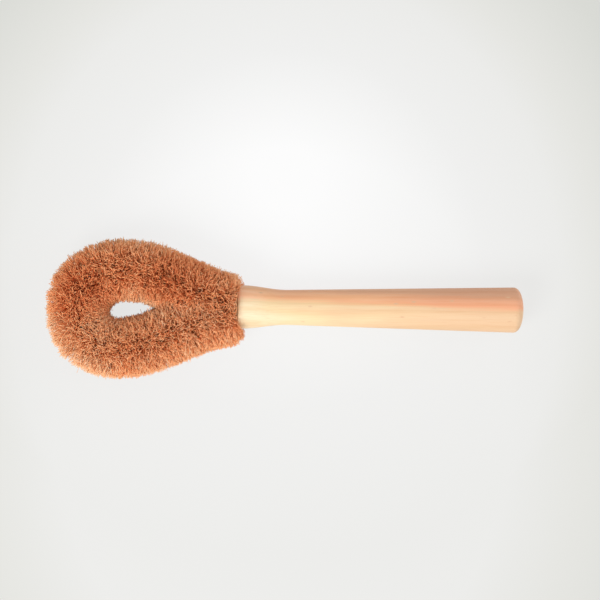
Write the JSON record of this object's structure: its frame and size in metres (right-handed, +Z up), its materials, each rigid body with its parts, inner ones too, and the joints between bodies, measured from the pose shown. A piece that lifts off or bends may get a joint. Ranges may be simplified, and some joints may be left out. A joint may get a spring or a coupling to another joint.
{
  "type": "dish brush",
  "caption": "Coir dish brush: bristles in twisted wire bent to a flat loop, glued into a waisted round wooden handle.",
  "frame": {"origin": "on the surface that the brush lies on, under the middle of its outline", "axes": "+X from the bristle loop to the handle's butt, +Y across the flat of the loop, +Z up from the surface"},
  "size_m": [0.2504, 0.0714, 0.0319],
  "materials": {
    "beech": "sanded, bare",
    "galvanised_wire": "drawn and galvanised",
    "clear_glue": "set, semi-gloss",
    "coir": "coarse natural fibre"
  },
  "bodies": {
    "root": {"handle": "beech", "wire_strand_a": "galvanised_wire", "wire_strand_b": "galvanised_wire", "glue_plug": "clear_glue", "coir_bristles_01": "coir", "coir_bristles_02": "coir", "coir_bristles_03": "coir", "coir_bristles_04": "coir", "coir_bristles_05": "coir", "coir_bristles_06": "coir", "coir_bristles_07": "coir", "coir_bristles_08": "coir", "coir_bristles_09": "coir", "coir_bristles_10": "coir", "coir_bristles_11": "coir", "coir_bristles_12": "coir", "coir_bristles_13": "coir", "coir_bristles_14": "coir", "coir_bristles_15": "coir", "coir_bristles_16": "coir"}
  },
  "joints": []
}
